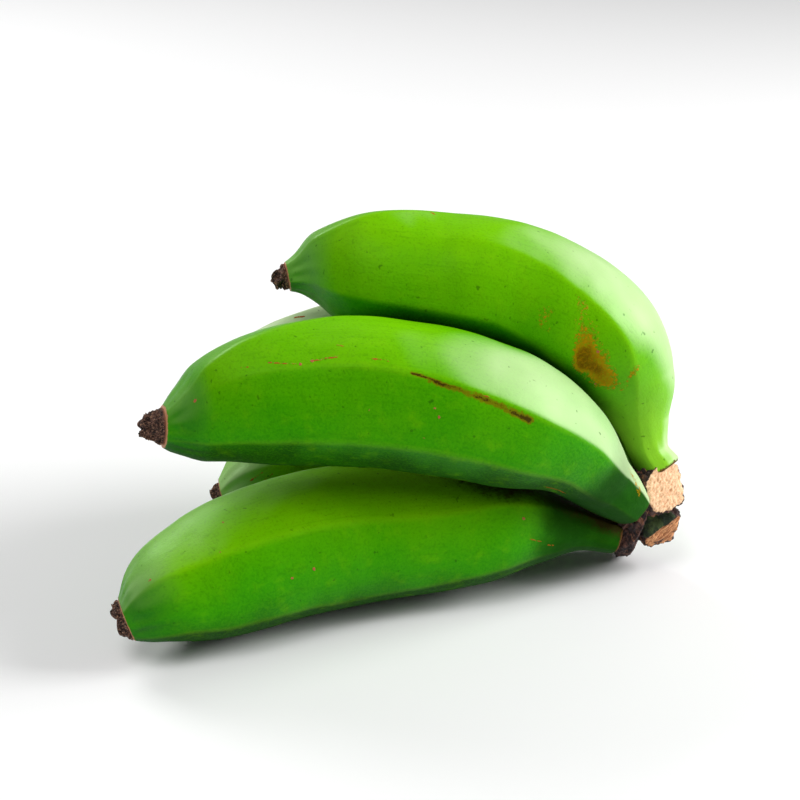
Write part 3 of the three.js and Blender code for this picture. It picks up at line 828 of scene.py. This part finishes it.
def dried_blossom():
    """Purplish black-brown with pale torn crumbs, and a tan line where it meets the skin."""
    f = Finish("dried_blossom")
    place = f.node("ShaderNodeTexCoord").outputs["Object"]
    coarse = f.noise(place, 520.0, 4.0, 0.7)
    fine = f.noise(place, 1700.0, 4.0, 0.75)
    brown = f.layer(f.ramp(coarse, 0.4, 0.62), colour(54, 32, 26), colour(128, 90, 74))
    brown = f.layer(f.ramp(fine, 0.53, 0.64, 0.0, 0.95), brown, colour(206, 158, 126))
    brown = f.layer(f.ramp(fine, 0.47, 0.38, 0.0, 0.9), brown, colour(14, 7, 6))
    rim = f.ramp(f.math("ADD", f.field("rise"), f.around_zero(fine, 0.2)), 0.07, 0.0)
    brown = f.layer(rim, brown, colour(176, 112, 78))
    normal = f.bump(coarse, 0.0012)
    normal = f.bump(fine, 0.0008, normal)
    return f.finish(brown, 0.85, normal)


blossom_finish = dried_blossom()
for k, name in enumerate(BLOSSOMS):
    make_blossom(name, 60 + 10 * k).data.materials.append(blossom_finish)
print("blossom ends:", len(BLOSSOMS))

# %% [markdown]
# ## The crown
#
# The crown is the cushion of bark and fibre that the fingers grow from. The knife left it whittled:
# a column of dark, cracked bark, and beside it two stubs that were sliced off, so that their pale
# fibrous flesh shows. One convex lump would hide the fissure between them. So it is three lumps, each
# a rounded polyhedron that is easy to steer: one outward direction and one distance for each side,
# and each side is either bark, pale cut, tan cut or a patch of green skin.

# %% Crown lumps
CROWN_LUMPS = {             # centre in mm; sides as (outward direction, distance in mm, what it is)
    "crown_bark": ((71, -2, 17), [
        ((-0.1, -1, 0.05), 9.3, "bark"), ((-0.855, 0, 0.518), 6.6, "bark"),
        ((-1, 0, -0.1), 6.2, "bark"), ((0.93, -0.25, -0.28), 3.2, "bark"),
        ((0.1, 1, 0.1), 12.3, "bark"), ((0.8, 0.6, 0), 7.5, "bark"),
        ((0.35, 0.2, 0.92), 12.0, "bark"), ((0, 0.1, -1), 16.2, "bark"),
        ((0, -0.61, -0.79), 9.6, "bark")]),
    "crown_upper_stub": ((77, -4, 28.9), [
        ((0.5, -0.8, 0.33), 5.2, "pale"), ((0.95, 0.1, 0.05), 8.6, "bark"),
        ((-0.8, -0.3, -0.1), 6.4, "bark"), ((0.3, -0.35, -0.88), 7.4, "bark"),
        ((-0.1, -0.2, 1), 9.6, "bark"), ((0, 1, 0.1), 7.0, "bark"),
        ((0.7, 0.7, 0.1), 6.6, "bark"), ((-0.72, -0.18, 0.67), 8.2, "bark"),
        ((0.48, 0.57, 0.67), 9.6, "bark"), ((0.72, 0.18, -0.67), 9.2, "bark"),
        ((-0.48, -0.57, -0.67), 8.2, "bark")]),
    "crown_lower_stub": ((77, -2.5, 16.5), [
        ((-0.25, -0.85, 0.45), 5.8, "green"), ((0.42, -0.8, -0.42), 5.5, "tan"),
        ((0.95, 0.2, 0), 6.6, "bark"), ((0, 1, 0), 8.0, "bark"),
        ((0, -0.2, -1), 7.2, "bark"), ((-0.9, -0.2, -0.3), 5.5, "bark"),
        ((0.2, 0, 1), 7.5, "bark"), ((0.7, 0.7, 0.1), 6.8, "bark")]),
}
LUMP_ROWS, LUMP_COLUMNS = 120, 190
LUMP_SHARPNESS = {"crown_bark": 16.0, "crown_upper_stub": 9.0, "crown_lower_stub": 8.0}
GRAIN = np.array([0.42, -0.1, 0.9])         # the way the bark's fibres run
LOWEST_BARK = 0.1           # mm above the surface


def lump_surface(centre, sides, sharpness, seed):
    """In each direction d from the centre the rounded polyhedron lies at
    1 / (sum over sides of (d.n / distance)^p)^(1/p); p sets how sharp its edges are. Then it is
    roughened: cracks along the grain in bark, shallow fibres on the cuts."""
    tilt = np.linspace(0.0, np.pi, LUMP_ROWS + 2)[1:-1, None]
    turn = np.linspace(0.0, 2 * np.pi, LUMP_COLUMNS, endpoint=False)[None, :]
    across, upward = np.sin(tilt) * np.cos(turn), np.sin(tilt) * np.sin(turn)
    ray = np.stack(np.broadcast_arrays(-np.cos(tilt), across, upward), -1)
    share = np.stack([(np.clip(ray @ (np.array(n) / np.linalg.norm(n)), 0, None) / d) ** sharpness
                      for n, d, _ in sides])
    total = share.sum(0)
    radius = total ** (-1.0 / sharpness)
    kinds = {kind: sum(share[k] for k, side in enumerate(sides) if side[2] == kind) / total
             for kind in ("bark", "pale", "tan", "green")}
    place = ray * radius[..., None]
    grain = GRAIN / np.linalg.norm(GRAIN)
    drawn = place - 0.72 * (place @ grain)[..., None] * grain
    cracks = 0.55 - np.abs(soft_noise(drawn, 3.4, seed))
    cracks -= 0.5 * np.abs(soft_noise(drawn, 1.6, seed + 1))
    bumps = kinds["bark"] * (0.75 * cracks + 0.25 * soft_noise(place, 1.5, seed + 2))
    bumps += (kinds["pale"] + kinds["tan"]) * (0.14 * soft_noise(drawn, 1.1, seed + 3)
                                               + 0.22 * soft_noise(place, 4.5, seed + 4))
    bumps += kinds["tan"] * 0.3 * np.minimum(soft_noise(place, 3.0, seed + 5), 0.4)
    bumps += kinds["green"] * 0.12 * soft_noise(place, 3.0, seed + 6)
    points = np.array(centre) + SET_DOWN + ray * (radius + bumps)[..., None]
    points[..., 2] = np.maximum(points[..., 2], LOWEST_BARK)
    return points, kinds


def make_lump(name, seed):
    """Builds one crown lump, stores what each side is and swaps it in for the CAD crown."""
    points, kinds = lump_surface(*CROWN_LUMPS[name], LUMP_SHARPNESS[name], seed)
    lump = closed_grid(name, points, points[0].mean(0), points[-1].mean(0), flip=True)
    for kind in ("pale", "tan", "green"):
        write_attribute(lump, kind, padded_ends(kinds[kind]))
    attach(lump, "root")
    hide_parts("crown")
    return lump


lumps = [make_lump(name, 90 + 10 * k) for k, name in enumerate(CROWN_LUMPS)]
print("crown lumps:", [lump.name for lump in lumps])


# %% Crown finish
def cut_crown():
    """Dark purplish bark with tan streaks; over it the pale upper cut, the tan lower cut, which is the
    same flesh painted darker as shade because it faces down, and the green patch, each with a ragged
    edge."""
    f = Finish("cut_crown")
    place = f.node("ShaderNodeTexCoord").outputs["Object"]
    # The bark's fibres lean with the column, and the flesh of the cuts is combed the other way.
    turned = f.node("ShaderNodeMapping", {"Vector": place, "Rotation": (0.0, 0.44, 0.0)}).outputs[0]
    fibre = f.noise(turned, 750.0, 4.0, 0.7, (1.0, 1.0, 0.2))
    across = f.node("ShaderNodeMapping", {"Vector": place, "Rotation": (0.0, -0.7, 0.0)}).outputs[0]
    flesh = f.noise(across, 1700.0, 4.0, 0.7, (1.0, 1.0, 0.1))
    blotch = f.noise(place, 300.0, 3.0, 0.6)
    bark = f.layer(f.ramp(blotch, 0.42, 0.6), colour(34, 18, 20), colour(84, 54, 46))
    bark = f.layer(f.ramp(fibre, 0.54, 0.68, 0.0, 0.85), bark, colour(150, 96, 70))
    bark = f.layer(f.ramp(fibre, 0.46, 0.36, 0.0, 0.9), bark, colour(16, 8, 10))
    pale = f.layer(f.ramp(flesh, 0.3, 0.62), colour(206, 148, 104), colour(246, 206, 164))
    pale = f.layer(f.ramp(blotch, 0.54, 0.7, 0.0, 0.35), pale, colour(190, 122, 76))
    # The lower cut is the same flesh as the upper one, painted darker as shade because it faces down.
    tan = f.layer(f.ramp(flesh, 0.36, 0.62), colour(150, 82, 40), colour(228, 164, 110))
    tan = f.layer(f.ramp(blotch, 0.44, 0.36, 0.0, 0.9), tan, colour(60, 34, 24))
    green = f.layer(f.ramp(blotch, 0.4, 0.6), colour(22, 40, 18), colour(66, 84, 40))
    wobble = f.math("SUBTRACT", blotch, 0.5)
    color = f.layer(f.ramp(f.math("ADD", f.field("green"), wobble), 0.4, 0.55), bark, green)
    color = f.layer(f.ramp(f.math("ADD", f.field("tan"), wobble), 0.4, 0.55), color, tan)
    color = f.layer(f.ramp(f.math("ADD", f.field("pale"), wobble), 0.4, 0.52), color, pale)
    rough = f.math("MULTIPLY", fibre, f.math("SUBTRACT", 1.0, f.field("pale")))
    normal = f.bump(rough, 0.0006)
    normal = f.bump(f.math("ADD", flesh, blotch), 0.0002, normal)
    return f.finish(color, 0.8, normal)


crown_finish = cut_crown()
for lump in lumps:
    lump.data.materials.append(crown_finish)
